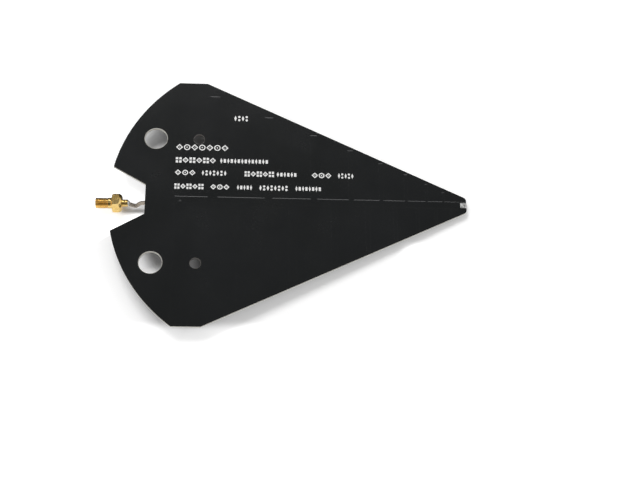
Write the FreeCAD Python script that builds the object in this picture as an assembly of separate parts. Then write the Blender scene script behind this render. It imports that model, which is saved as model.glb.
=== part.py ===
import FreeCAD, Part
import math
import os

# Printed log periodic antenna: a black two sided circuit board cut to a fan,
# with a strip dipole array etched on each face, fed by a thin coaxial line
# that runs under the boom from a threaded jack in the rear notch to the tip.
# Millimetres. +X points to the tip, +Y across the board, +Z up.
# The origin is midway between the two small mounting holes, on the underside.

Vector = FreeCAD.Vector

# Board outline
board_thickness = 1.6
board_width = 153.0
tip_x = 156.0
tip_width = 8.9
tip_corner_radius = 2.5
flat_front_x = 4.0
rear_arc_back_x = -50.8
rear_arc_radius = 95.5
notch_depth = 21.0
notch_floor_width = 18.5
notch_flank_deg = 30.0

# Holes through the board
hole_row_spacing = 78.0
mounting_hole_radius = 3.1
rear_hole_radius = 6.5
rear_hole_to_edge = 17.4
drill_overrun = 1.0

# Etched array
copper_thickness = 0.035
boom_width = 4.5
arm_count = 17
rear_arm_x = -9.9
virtual_apex_beyond_tip = 31.0
arm_spacing_ratio = 0.9055
rear_arm_length = 75.4
arm_length_power = 0.88
arm_width_share = 0.033
copper_to_tip = 0.2
feed_isolation = 1.0

# Link that shorts the two booms at the rear
short_link_radius = 0.45
short_link_y = -1.7
short_link_stand_out = 0.2

# Coaxial feed line
shield_radius = 1.15
dielectric_radius = 0.84
wire_radius = 0.255
layer_clearance = 0.01
solder_film = 0.05
feed_hole_to_tip = 2.0
feed_hole_clearance = 0.1
wire_bend_radius = 1.0
shield_to_feed_hole = 5.0
dielectric_bare_length = 1.6
wire_stand_above_board = 0.45
pigtail_straight = 3.0
landing_inside_notch = 5.8
pigtail_bend_radius = 8.0

# Solder
tip_joint_length = 3.6
tip_joint_width = 3.4
tip_joint_height = 0.62
boom_joint_count = 4
boom_joint_length = 7.0
boom_joint_width = 4.1
boom_joint_depth = 1.75
boom_joint_inset = 9.0
jack_joint_length = 0.9
jack_joint_thickness = 0.55
jack_joint_rim = 0.06

# Jack, measured along its own axis from the mating face
jack_behind_notch = 10.1
jack_tilt_deg = 2.3
thread_radius = 3.175
thread_length = 6.3
thread_lead_in = 0.3
groove_length = 0.6
groove_radius = 2.75
shoulder_length = 2.7
shoulder_radius = 3.1
hex_length = 5.4
hex_across_flats = 10.3
hex_bevel_deg = 30.0
collar_length = 3.4
collar_radius = 2.1
mouth_radius = 2.3
mouth_depth = 1.95
insulator_radius = 2.06
insulator_recess = 0.1
cable_socket_depth = 4.2
cable_socket_clearance = 0.02
contact_radius = 0.635
contact_recess = 0.2
contact_socket_radius = 0.47
contact_socket_depth = 3.0
contact_slot_width = 0.2
contact_slot_depth = 2.6
solder_cup_depth = 2.2

# Worked out from the sizes above
board_half_width = board_width / 2.0
tip_half_width = tip_width / 2.0
hole_row_y = hole_row_spacing / 2.0
rear_arc_centre_x = rear_arc_back_x + rear_arc_radius
notch_floor_x = rear_arc_back_x + notch_depth
jack_rear_x = notch_floor_x - jack_behind_notch
copper_end_x = tip_x - copper_to_tip
feed_hole_x = tip_x - feed_hole_to_tip
apex_x = tip_x + virtual_apex_beyond_tip
coax_axis_z = -(copper_thickness + solder_film + shield_radius)
shield_front_x = feed_hole_x - shield_to_feed_hole
feed_hole_radius = wire_radius + feed_hole_clearance
groove_end = thread_length + groove_length
hex_start = groove_end + shoulder_length
hex_middle = hex_start + hex_length / 2.0
hex_end = hex_start + hex_length
jack_length = hex_end + collar_length
cable_stop_x = jack_length - cable_socket_depth
contact_front_x = mouth_depth + contact_recess
contact_length = cable_stop_x - contact_front_x
jack_tilt = math.radians(jack_tilt_deg)

# The antenna lies on the front end of the shield and on one flat of the hex,
# so the height of the jack follows from its tilt.
rest_run = shield_front_x - jack_rear_x
jack_rear_z = (
    coax_axis_z
    - shield_radius
    - rest_run * math.tan(jack_tilt)
    + hex_across_flats / 2.0 / math.cos(jack_tilt)
)



def on_face(z, points):
    return [Vector(x, y, z) for x, y in points]


def prism(points, height):
    """Solid of the given height on a closed outline of straight sides."""
    wire = Part.makePolygon(points + [points[0]])
    return Part.Face(wire).extrude(Vector(0, 0, height))


def round_solid(profile):
    """Solid of revolution about X from (x, radius) points."""
    points = [Vector(x, radius, 0) for x, radius in profile]
    wire = Part.makePolygon(points + [points[0]])
    return Part.Face(wire).revolve(Vector(0, 0, 0), Vector(1, 0, 0), 360)


def rod(x, radius, length):
    """Cylinder along X that starts at x."""
    return Part.makeCylinder(radius, length, Vector(x, 0, 0), Vector(1, 0, 0))


def drilled(solid, x, y, radius):
    bottom = Vector(x, y, -drill_overrun)
    drill = Part.makeCylinder(radius, board_thickness + 2.0 * drill_overrun, bottom)
    return solid.cut(drill)


def rear_arc_x(y):
    """X of the rear arc at the given distance from the axis."""
    return rear_arc_centre_x - math.sqrt(rear_arc_radius ** 2 - y ** 2)


def wing_corner():
    """Point where the flank of the notch meets the rear arc."""
    slope = math.tan(math.radians(notch_flank_deg))
    start_x = notch_floor_x - rear_arc_centre_x
    start_y = notch_floor_width / 2.0
    a = 1.0 + slope ** 2
    b = start_y * slope - start_x
    c = start_x ** 2 + start_y ** 2 - rear_arc_radius ** 2
    run = (-b + math.sqrt(b ** 2 - a * c)) / a
    return notch_floor_x - run, start_y + run * slope


def rear_arc_edge(side):
    """Rear edge of one wing, from the notch to the flat side."""
    corner_x, corner_y = wing_corner()
    middle_y = (corner_y + board_half_width) / 2.0
    start = Vector(corner_x, side * corner_y, 0)
    middle = Vector(rear_arc_x(middle_y), side * middle_y, 0)
    end = Vector(rear_arc_x(board_half_width), side * board_half_width, 0)
    return Part.Arc(start, middle, end).toShape()


def board_side_edges(side):
    """Edges of one half of the outline, from the notch floor to the tip."""
    corner_x, corner_y = wing_corner()
    floor_corner = Vector(notch_floor_x, side * notch_floor_width / 2.0, 0)
    wing = Vector(corner_x, side * corner_y, 0)
    flat_rear = Vector(rear_arc_x(board_half_width), side * board_half_width, 0)
    flat_front = Vector(flat_front_x, side * board_half_width, 0)
    tip = Vector(tip_x, side * tip_half_width, 0)
    return [
        Part.makeLine(floor_corner, wing),
        rear_arc_edge(side),
        Part.makeLine(flat_rear, flat_front),
        Part.makeLine(flat_front, tip),
    ]


def upright_edges(solid, x, y):
    """Edges of a plate that stand at the given point."""
    near = 0.01
    found = []
    for edge in solid.Edges:
        centre = edge.CenterOfMass
        if abs(centre.x - x) < near and abs(centre.y - y) < near:
            found.append(edge)
    return found


def make_circuit_board():
    floor = Part.makeLine(
        Vector(notch_floor_x, -notch_floor_width / 2.0, 0),
        Vector(notch_floor_x, notch_floor_width / 2.0, 0),
    )
    nose = Part.makeLine(Vector(tip_x, -tip_half_width, 0), Vector(tip_x, tip_half_width, 0))
    edges = [floor, nose] + board_side_edges(1) + board_side_edges(-1)
    outline = Part.Wire(Part.__sortEdges__(edges))
    board = Part.Face(outline).extrude(Vector(0, 0, board_thickness))
    corners = upright_edges(board, tip_x, tip_half_width)
    corners += upright_edges(board, tip_x, -tip_half_width)
    board = board.makeFillet(tip_corner_radius, corners)
    rear_hole_x = rear_arc_x(hole_row_y) + rear_hole_to_edge
    for side in (1, -1):
        board = drilled(board, 0.0, side * hole_row_y, mounting_hole_radius)
        board = drilled(board, rear_hole_x, side * hole_row_y, rear_hole_radius)
    board = drilled(board, rear_arm_x, short_link_y, short_link_radius)
    return drilled(board, feed_hole_x, 0.0, feed_hole_radius)


def arm_centre_x(index):
    """The arms close up by a constant ratio towards a point beyond the tip."""
    return apex_x - (apex_x - rear_arm_x) * arm_spacing_ratio ** index


def arm_reach(index):
    """Distance from the axis to the end of an arm."""
    share = (tip_x - arm_centre_x(index)) / (tip_x - rear_arm_x)
    return rear_arm_length * share ** arm_length_power


def arm_width(index):
    return (apex_x - arm_centre_x(index)) * arm_width_share


def boom_rear_x():
    return rear_arm_x - arm_width(0) / 2.0


def make_array(first_side, bottom_z, end_x):
    """Boom and alternating arms of one face, as one sheet of copper."""
    start_x = boom_rear_x()
    half = boom_width / 2.0
    sheet = prism(
        on_face(bottom_z, [(start_x, -half), (end_x, -half), (end_x, half), (start_x, half)]),
        copper_thickness,
    )
    for index in range(arm_count):
        side = first_side if index % 2 == 0 else -first_side
        centre = arm_centre_x(index)
        half_arm = arm_width(index) / 2.0
        reach = side * arm_reach(index)
        corners = [
            (centre - half_arm, 0.0),
            (centre + half_arm, 0.0),
            (centre + half_arm, reach),
            (centre - half_arm, reach),
        ]
        sheet = sheet.fuse(prism(on_face(bottom_z, corners), copper_thickness))
    return sheet.removeSplitter()


def make_top_copper():
    sheet = make_array(-1, board_thickness, copper_end_x)
    sheet = drilled(sheet, rear_arm_x, short_link_y, short_link_radius)
    return drilled(sheet, feed_hole_x, 0.0, feed_hole_radius)


def make_bottom_copper():
    sheet = make_array(1, -copper_thickness, feed_hole_x - feed_isolation)
    return drilled(sheet, rear_arm_x, short_link_y, short_link_radius)


def make_short_link():
    """Pin through both booms that stands a little out of each face."""
    top = board_thickness + copper_thickness + short_link_stand_out
    bottom = -copper_thickness - short_link_stand_out
    return Part.makeCylinder(short_link_radius, top - bottom, Vector(rear_arm_x, short_link_y, bottom))


def jack_placement():
    """Places a solid made along X, mating face at zero, on the jack's axis."""
    axis = Vector(math.cos(jack_tilt), 0, math.sin(jack_tilt))
    rear = Vector(jack_rear_x, 0, jack_rear_z)
    turn = FreeCAD.Rotation(Vector(0, 1, 0), -jack_tilt_deg)
    return FreeCAD.Placement(rear - axis * jack_length, turn)


def placed(solid):
    solid.Placement = jack_placement()
    return solid


def feed_points():
    """Corners of the feed line's route, from the jack to the shield's front end."""
    axis = Vector(math.cos(jack_tilt), 0, math.sin(jack_tilt))
    rear = Vector(jack_rear_x, 0, jack_rear_z)
    return [
        rear - axis * cable_socket_depth,
        rear + axis * pigtail_straight,
        Vector(notch_floor_x + landing_inside_notch, 0, coax_axis_z),
        Vector(shield_front_x, 0, coax_axis_z),
    ]


def bend(before, corner, after):
    """Start, middle and end of the tangent arc that rounds one corner of a route."""
    to_before = (before - corner).normalize()
    to_after = (after - corner).normalize()
    half_opening = to_before.getAngle(to_after) / 2.0
    reach = pigtail_bend_radius / math.tan(half_opening)
    centre_way = (to_before + to_after).normalize()
    centre = corner + centre_way * (pigtail_bend_radius / math.sin(half_opening))
    middle = centre - centre_way * pigtail_bend_radius
    return corner + to_before * reach, middle, corner + to_after * reach


def feed_path(start_extra, end_extra):
    """Edges along the route, with its first and last runs made longer."""
    points = feed_points()
    start_way = (points[0] - points[1]).normalize()
    end_way = (points[-1] - points[-2]).normalize()
    edges = []
    here = points[0] + start_way * start_extra
    for index in range(1, len(points) - 1):
        start, middle, end = bend(points[index - 1], points[index], points[index + 1])
        edges.append(Part.makeLine(here, start))
        edges.append(Part.Arc(start, middle, end).toShape())
        here = end
    edges.append(Part.makeLine(here, points[-1] + end_way * end_extra))
    return edges


def swept(edges, outer_radius, inner_radius):
    """Round line along a path, hollow where an inner radius is given."""
    first = edges[0]
    start = first.valueAt(first.FirstParameter)
    way = first.tangentAt(first.FirstParameter)
    disc = Part.Face(Part.Wire(Part.Circle(start, way, outer_radius).toShape()))
    if inner_radius > 0:
        hole = Part.Face(Part.Wire(Part.Circle(start, way, inner_radius).toShape()))
        disc = disc.cut(hole).Faces[0]
    return Part.Wire(edges).makePipe(disc)


def make_coax_shield():
    return swept(feed_path(0.0, 0.0), shield_radius, dielectric_radius + layer_clearance)


def make_coax_dielectric():
    edges = feed_path(0.0, dielectric_bare_length)
    return swept(edges, dielectric_radius, wire_radius + layer_clearance)


def make_coax_centre_wire():
    """Inner wire, from the jack's contact to the top of the board at the tip."""
    end_extra = feed_hole_x - wire_bend_radius - shield_front_x
    edges = feed_path(solder_cup_depth, end_extra)
    turn_start = Vector(feed_hole_x - wire_bend_radius, 0, coax_axis_z)
    turn_end = Vector(feed_hole_x, 0, coax_axis_z + wire_bend_radius)
    diagonal = wire_bend_radius * math.sqrt(0.5)
    turn_middle = Vector(
        feed_hole_x - wire_bend_radius + diagonal,
        0,
        coax_axis_z + wire_bend_radius - diagonal,
    )
    top = Vector(feed_hole_x, 0, board_thickness + wire_stand_above_board)
    edges.append(Part.Arc(turn_start, turn_middle, turn_end).toShape())
    edges.append(Part.makeLine(turn_end, top))
    return swept(edges, wire_radius, 0.0)


def solder_mound(length, width, height):
    """Mound of solder on z = 0, rounded along its length and across it."""
    along_radius = (length ** 2 / 4.0 + height ** 2) / (2.0 * height)
    across_radius = (width ** 2 / 4.0 + height ** 2) / (2.0 * height)
    arch = Part.makeCylinder(
        along_radius,
        width,
        Vector(0, -width / 2.0, height - along_radius),
        Vector(0, 1, 0),
    )
    barrel = Part.makeCylinder(
        across_radius,
        length,
        Vector(-length / 2.0, 0, height - across_radius),
        Vector(1, 0, 0),
    )
    room = Part.makeBox(length, width, height, Vector(-length / 2.0, -width / 2.0, 0))
    return room.common(arch).common(barrel)


def make_tip_joint():
    """Solder over the end of the top boom, with the feed line's wire in it."""
    joint = solder_mound(tip_joint_length, tip_joint_width, tip_joint_height)
    joint.translate(Vector(copper_end_x - tip_joint_length / 2.0, 0, board_thickness + copper_thickness))
    wire_room = Part.makeCylinder(
        wire_radius + layer_clearance,
        board_thickness + wire_stand_above_board + layer_clearance,
        Vector(feed_hole_x, 0, 0),
    )
    return joint.cut(wire_room)


def make_boom_joints():
    """Row of solder saddles that hold the shield to the lower boom."""
    first = boom_rear_x() + boom_joint_inset
    last = shield_front_x - boom_joint_inset
    pitch = (last - first) / (boom_joint_count - 1)
    line = Part.makeCylinder(
        shield_radius + layer_clearance,
        shield_front_x - boom_rear_x(),
        Vector(boom_rear_x(), 0, coax_axis_z),
        Vector(1, 0, 0),
    )
    saddles = []
    for index in range(boom_joint_count):
        saddle = solder_mound(boom_joint_length, boom_joint_width, boom_joint_depth)
        saddle.rotate(Vector(0, 0, 0), Vector(1, 0, 0), 180)
        saddle.translate(Vector(first + index * pitch, 0, -copper_thickness))
        saddles.append(saddle.cut(line))
    return Part.makeCompound(saddles)


def make_hex():
    """Hexagon with its corners bevelled on the thread's side, one flat on the table."""
    corner_radius = hex_across_flats / math.sqrt(3.0)
    corners = []
    for index in range(6):
        angle = math.radians(60 * index)
        corners.append(Vector(hex_start, corner_radius * math.cos(angle), corner_radius * math.sin(angle)))
    side = Part.Face(Part.makePolygon(corners + [corners[0]]))
    block = side.extrude(Vector(hex_length, 0, 0))
    flat_radius = hex_across_flats / 2.0
    bevel = (corner_radius - flat_radius) * math.tan(math.radians(hex_bevel_deg))
    turned = round_solid(
        [
            (hex_start, 0.0),
            (hex_start, flat_radius),
            (hex_start + bevel, corner_radius),
            (hex_end, corner_radius),
            (hex_end, 0.0),
        ]
    )
    return block.common(turned)


def make_jack_body():
    """Turned body: threaded barrel, groove, shoulder, hexagon and cable collar."""
    barrel = round_solid(
        [
            (0.0, 0.0),
            (0.0, thread_radius - thread_lead_in),
            (thread_lead_in, thread_radius),
            (thread_length, thread_radius),
            (thread_length, groove_radius),
            (groove_end, groove_radius),
            (groove_end, shoulder_radius),
            (hex_middle, shoulder_radius),
            (hex_middle, 0.0),
        ]
    )
    collar = round_solid(
        [
            (hex_middle, 0.0),
            (hex_middle, collar_radius),
            (jack_length, collar_radius),
            (jack_length, 0.0),
        ]
    )
    body = make_hex().fuse([barrel, collar])
    body = body.cut(rod(0.0, mouth_radius, mouth_depth))
    body = body.cut(rod(mouth_depth, insulator_radius + layer_clearance, cable_stop_x - mouth_depth))
    body = body.cut(rod(cable_stop_x, shield_radius + cable_socket_clearance, cable_socket_depth))
    return placed(body.removeSplitter())


def make_jack_insulator():
    front = mouth_depth + insulator_recess
    length = cable_stop_x - front
    sleeve = rod(front, insulator_radius, length)
    return placed(sleeve.cut(rod(front, contact_radius + layer_clearance, length)))


def make_jack_contact():
    """Slotted socket for the mating pin, with a cup for the wire behind."""
    front = contact_front_x
    contact = rod(front, contact_radius, contact_length)
    contact = contact.cut(rod(front, contact_socket_radius, contact_socket_depth))
    slot = Part.makeBox(
        contact_slot_depth,
        contact_slot_width,
        contact_radius * 2.0,
        Vector(front, -contact_slot_width / 2.0, -contact_radius),
    )
    contact = contact.cut(slot)
    cup_start = cable_stop_x - solder_cup_depth
    contact = contact.cut(rod(cup_start, wire_radius + layer_clearance, solder_cup_depth))
    return placed(contact)


def make_jack_joint():
    """Fillet of solder between the collar and the shield."""
    inner = shield_radius + layer_clearance
    ring = round_solid(
        [
            (jack_length, inner),
            (jack_length, inner + jack_joint_thickness),
            (jack_length + jack_joint_length, inner + jack_joint_rim),
            (jack_length + jack_joint_length, inner),
        ]
    )
    return placed(ring)


def main():
    os.makedirs("parts", exist_ok=True)
    solids = {
        "circuit_board": make_circuit_board(),
        "top_copper": make_top_copper(),
        "bottom_copper": make_bottom_copper(),
        "boom_short_link": make_short_link(),
        "coax_shield": make_coax_shield(),
        "coax_dielectric": make_coax_dielectric(),
        "coax_centre_wire": make_coax_centre_wire(),
        "tip_solder_joint": make_tip_joint(),
        "boom_solder_joints": make_boom_joints(),
        "jack_body": make_jack_body(),
        "jack_insulator": make_jack_insulator(),
        "jack_contact": make_jack_contact(),
        "jack_solder_joint": make_jack_joint(),
    }
    for name, shape in solids.items():
        print(name, "solids", len(shape.Solids), "valid", shape.isValid(), "volume", round(shape.Volume, 3))
        shape.exportStep("parts/" + name + ".step")


main()
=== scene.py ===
import math

import bmesh
import bpy
from mathutils import Matrix, Vector, noise


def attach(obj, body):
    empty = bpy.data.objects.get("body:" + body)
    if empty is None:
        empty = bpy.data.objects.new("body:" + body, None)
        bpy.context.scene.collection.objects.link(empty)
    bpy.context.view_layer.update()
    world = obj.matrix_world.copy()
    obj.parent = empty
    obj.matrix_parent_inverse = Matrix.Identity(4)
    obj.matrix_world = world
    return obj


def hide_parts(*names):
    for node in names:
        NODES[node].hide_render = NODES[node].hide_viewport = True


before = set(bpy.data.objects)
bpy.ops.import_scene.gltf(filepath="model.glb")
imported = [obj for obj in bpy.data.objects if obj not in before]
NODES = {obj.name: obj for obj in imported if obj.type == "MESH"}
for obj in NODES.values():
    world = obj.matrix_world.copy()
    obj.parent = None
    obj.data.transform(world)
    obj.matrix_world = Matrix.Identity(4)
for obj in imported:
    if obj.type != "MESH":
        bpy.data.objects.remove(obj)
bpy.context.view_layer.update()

# The origin is midway between the two small holes on the board's underside, +X points to the
# tip and +Z out of the upper face. Sizes are in millimetres and become metres where a mesh or
# the camera is made. Only the lamps and the noise textures work in metres.
MM = 0.001

# Camera, solved from the board's corners, its round rear edge and its holes in the photograph
CAMERA_TARGET = Vector((70.342, -23.455, 1.6))
CAMERA_DISTANCE = 684.0
CAMERA_ELEVATION = math.radians(66.856)
CAMERA_AZIMUTH = math.radians(10.075)
CAMERA_ROLL = math.radians(-10.374)
CAMERA_LENS = 67.5
SENSOR_WIDTH = 36.0

# Board outline
BOARD_TOP = 1.6
BOARD_HALF_WIDTH = 76.5
TIP_X = 156.0
TIP_HALF_WIDTH = 4.45
FLAT_FRONT_X = 4.0
REAR_ARC_BACK_X = -50.8
REAR_ARC_RADIUS = 95.5
REAR_ARC_CENTRE_X = REAR_ARC_BACK_X + REAR_ARC_RADIUS
NOTCH_DEPTH = 21.0
NOTCH_FLOOR_X = REAR_ARC_BACK_X + NOTCH_DEPTH
NOTCH_FLOOR_HALF_WIDTH = 9.25
NOTCH_FLARE = math.tan(math.radians(30.0))

# Holes, two of each size across the board, with the ring of bare laminate round them
HOLE_Y = 39.0
SMALL_HOLE_X = 0.0
SMALL_HOLE_RADIUS = 3.1
SMALL_HOLE_RING = 0.12
REAR_HOLE_TO_EDGE = 17.4
REAR_HOLE_X = REAR_ARC_CENTRE_X - math.sqrt(REAR_ARC_RADIUS ** 2 - HOLE_Y ** 2) + REAR_HOLE_TO_EDGE
REAR_HOLE_RADIUS = 6.5
REAR_HOLE_RING = 0.26

# Etched array
COPPER_THICKNESS = 0.035
BOOM_HALF_WIDTH = 2.25
ARM_COUNT = 17
REAR_ARM_X = -9.9
APEX_X = TIP_X + 31.0
ARM_SPACING_RATIO = 0.9055
REAR_ARM_LENGTH = 75.4
ARM_LENGTH_POWER = 0.88
ARM_WIDTH_SHARE = 0.033
FEED_HOLE_X = TIP_X - 2.0
TOP_ARRAY_END_X = TIP_X - 0.2
BOTTOM_ARRAY_END_X = FEED_HOLE_X - 1.0

# The mask over the copper: how high it stands, and how it slopes from outside the edge to inside
MASK_RISE = 0.082
MASK_OUTSIDE_EDGE = 0.1
MASK_SHOULDER_WIDTH = 0.46
MASK_SHOULDER_STEPS = 4

# Cable, with its solder saddles under the boom
SHIELD_RADIUS = 1.15
SOLDER_FILM = 0.05
COAX_AXIS_Z = -(COPPER_THICKNESS + SOLDER_FILM + SHIELD_RADIUS)
SHIELD_FRONT_X = FEED_HOLE_X - 5.0
CORE_RADIUS = 0.84
CORE_BARE_LENGTH = 1.6
WIRE_RADIUS = 0.255
WIRE_BEND_RADIUS = 1.0
WIRE_BEND_STEPS = 12
WIRE_STAND = 0.45
CABLE_SOCKET_DEPTH = 4.2
SOLDER_CUP_DEPTH = 2.2
ROUTE_RESOLUTION = 4
STRAIGHT_PARTS = 60
SADDLE_COUNT = 4
SADDLE_INSET = 9.0
SADDLE_SIZE = (7.0, 4.1, 1.75)
SADDLE_UNEVENNESS = 0.3

# Solder at the tip, and the mask's bumps over the link at the boom's rear end
TIP_PAD_X = FEED_HOLE_X + 0.1
TIP_PAD_SIZE = (3.5, 3.4, 0.42)
TIP_PAD_UNEVENNESS = 0.5
TIP_PAD_GAP = 0.01
LINK_Y = -1.7
LINK_HEAD_SIZE = (3.0, 3.0, 0.14)
LINK_HEAD_UNEVENNESS = 0.2
LINK_HEAD_BASE = 0.06
MOUND_CELLS = 36
MOUND_LUMP_SCALE = 1.1
MOUND_GRAIN_SCALE = 3.0
MOUND_GRAIN_SHIFT = 7.0

# Jack, measured along its own axis from the mating face
JACK_LENGTH = 18.4
JACK_SEGMENTS = 144
MOUTH_RADIUS = 2.3
MOUTH_DEPTH = 1.95
MOUTH_CHAMFER = 0.12
INSULATOR_BORE = 2.07
BARREL_FACE_RADIUS = 2.78
THREAD_LENGTH = 6.3
THREAD_ROWS = 144
THREAD_PITCH = 25.4 / 36.0
THREAD_CREST = 3.175
THREAD_ROOT = 2.8
THREAD_CREST_FLAT = 0.125
THREAD_ROOT_FLAT = 0.25
LEAD_IN_SLOPE = 0.9
GROOVE_START = THREAD_LENGTH + 0.04
GROOVE_END = GROOVE_START + 0.26
GROOVE_RADIUS = 2.72
SHOULDER_START = GROOVE_END + 0.5
SHOULDER_RADIUS = 3.1
WASHER_RADIUS = SHOULDER_RADIUS + 0.5
WASHER_CONE = 0.5
WASHER_LENGTH = 0.2
HEX_START = 9.6
HEX_END = 15.0
HEX_ACROSS_FLATS = 10.3
HEX_BEVEL = 0.12
HEX_BEVEL_SLOPE = math.tan(math.radians(30.0))
HEX_BEVEL_LENGTH = 0.56
HEX_BEVEL_ROWS = 8
HEX_CHAMFER = 0.9
HEX_CHAMFER_LENGTH = 1.8
HEX_CHAMFER_ROWS = 20
COLLAR_RADIUS = 2.1
COLLAR_CHAMFER = 0.2
COLLAR_BORE = 1.17
COLLAR_BORE_SHOWN = 1.5

# The antenna lies on its table on a flat of the hexagon and on the front end of its braid, which
# tilts the table and the jack against the board
TABLE_TILT = math.radians(2.3)
REST_X = SHIELD_FRONT_X
REST_Z = COAX_AXIS_Z - SHIELD_RADIUS
JACK_AXIS = Vector((math.cos(TABLE_TILT), 0.0, math.sin(TABLE_TILT)))
JACK_REAR_X = NOTCH_FLOOR_X - 10.1
TABLE_UNDER_JACK_Z = REST_Z - (REST_X - JACK_REAR_X) * math.tan(TABLE_TILT)
JACK_REAR_Z = TABLE_UNDER_JACK_Z + HEX_ACROSS_FLATS / 2.0 / math.cos(TABLE_TILT)
JACK_REAR = Vector((JACK_REAR_X, 0.0, JACK_REAR_Z))


def add_camera():
    """Camera that sees the board as the photograph does."""
    heading = Matrix.Rotation(-CAMERA_AZIMUTH, 3, "Z")
    across = Vector((1.0, 0.0, 0.0))
    upward = Vector((0.0, math.sin(CAMERA_ELEVATION), math.cos(CAMERA_ELEVATION)))
    back = heading @ Vector((0.0, -math.cos(CAMERA_ELEVATION), math.sin(CAMERA_ELEVATION)))
    right = heading @ (math.cos(CAMERA_ROLL) * across - math.sin(CAMERA_ROLL) * upward)
    up = heading @ (math.sin(CAMERA_ROLL) * across + math.cos(CAMERA_ROLL) * upward)

    data = bpy.data.cameras.new("camera")
    data.lens = CAMERA_LENS
    data.sensor_width = SENSOR_WIDTH
    data.clip_start = 0.01
    data.clip_end = 20.0
    camera = bpy.data.objects.new("camera", data)
    place = Matrix.Translation((CAMERA_TARGET + back * CAMERA_DISTANCE) * MM)
    camera.matrix_world = place @ Matrix((right, up, back)).transposed().to_4x4()
    bpy.context.scene.collection.objects.link(camera)
    bpy.context.scene.camera = camera


class Nodes:
    """Short calls that add nodes to one node tree."""

    def __init__(self, tree):
        self.tree = tree

    def link(self, output, node, name):
        self.tree.links.new(output, node.inputs[name])

    def put(self, value, socket):
        """Links an output to a socket, or sets the socket to a number or a colour."""
        if isinstance(value, tuple):
            socket.default_value = (*value, 1.0)
        elif isinstance(value, (int, float)):
            socket.default_value = value
        else:
            self.tree.links.new(value, socket)

    def add(self, kind, **values):
        made = self.tree.nodes.new("ShaderNode" + kind)
        for name, value in values.items():
            setattr(made, name, value)
        return made

    def math(self, operation, *values):
        made = self.add("Math", operation=operation)
        for socket, value in zip(made.inputs, values):
            self.put(value, socket)
        return made.outputs[0]

    def chain(self, operation, first, *others):
        """One operation of two values, carried on from the first value to the last."""
        result = first
        for value in others:
            result = self.math(operation, result, value)
        return result

    def plus(self, *values):
        return self.chain("ADD", *values)

    def minus(self, *values):
        return self.chain("SUBTRACT", *values)

    def times(self, *values):
        return self.chain("MULTIPLY", *values)

    def larger(self, *values):
        return self.chain("MAXIMUM", *values)

    def absolute(self, value):
        return self.math("ABSOLUTE", value)

    def eased(self, value, start, end):
        """Smooth step of a value: nought at start, one at end, in either direction."""
        made = self.add("MapRange", interpolation_type="SMOOTHSTEP")
        self.link(value, made, "Value")
        for name, number in (("From Min", start), ("From Max", end), ("To Min", 0.0), ("To Max", 1.0)):
            made.inputs[name].default_value = number
        return made.outputs[0]

    def place(self):
        """Where a point lies on its object, in metres."""
        return self.add("TexCoord").outputs["Object"]

    def parts_of(self, vector):
        """The X, Y and Z of a vector."""
        made = self.add("SeparateXYZ")
        self.link(vector, made, "Vector")
        return made.outputs

    def noise(self, scale, detail, stretch=None):
        made = self.add("TexNoise")
        made.inputs["Scale"].default_value = scale
        made.inputs["Detail"].default_value = detail
        source = self.place()
        if stretch:
            mapping = self.add("Mapping")
            mapping.inputs["Scale"].default_value = stretch
            self.link(source, mapping, "Vector")
            source = mapping.outputs[0]
        self.link(source, made, "Vector")
        return made.outputs["Fac"]

    def ramp(self, value, stops):
        """Colour or grey level worked out from a value by stops of (value, colour or level)."""
        made = self.add("ValToRGB")
        self.link(value, made, "Fac")
        elements = made.color_ramp.elements
        while len(elements) < len(stops):
            elements.new(0.5)
        for element, (position, colour) in zip(elements, stops):
            element.position = position
            level = colour if isinstance(colour, tuple) else (colour, colour, colour)
            element.color = (*level, 1.0)
        return made.outputs["Color"]

    def mix(self, factor, first, second):
        made = self.add("Mix", data_type="RGBA")
        for index, value in ((0, factor), (6, first), (7, second)):
            self.put(value, made.inputs[index])
        return made.outputs[2]

    def bump(self, height, distance):
        """Normal of a surface that a height of one raises by a distance."""
        made = self.add("Bump")
        made.inputs["Distance"].default_value = distance * MM
        self.link(height, made, "Height")
        return made.outputs["Normal"]

    def kinds_of_ray(self):
        """One for what the camera sees, also through something clear, and one for what is mirrored."""
        rays = self.add("LightPath")
        seen = self.larger(rays.outputs["Is Camera Ray"], rays.outputs["Is Transmission Ray"])
        return seen, rays.outputs["Is Glossy Ray"]


class Shader(Nodes):
    """One material and the nodes that feed its surface."""

    def __init__(self, name):
        self.material = bpy.data.materials.new(name)
        self.material.use_nodes = True
        super().__init__(self.material.node_tree)
        self.surface = self.tree.nodes["Principled BSDF"]

    def set(self, **values):
        for name, value in values.items():
            self.surface.inputs[name.replace("_", " ")].default_value = value

    def feed(self, name, output):
        self.link(output, self.surface, name)

    def finished(self, colour, roughness, normal):
        """Feeds what every material here has, and gives the material."""
        self.feed("Base Color", colour)
        self.feed("Roughness", roughness)
        self.feed("Normal", normal)
        return self.material


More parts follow.
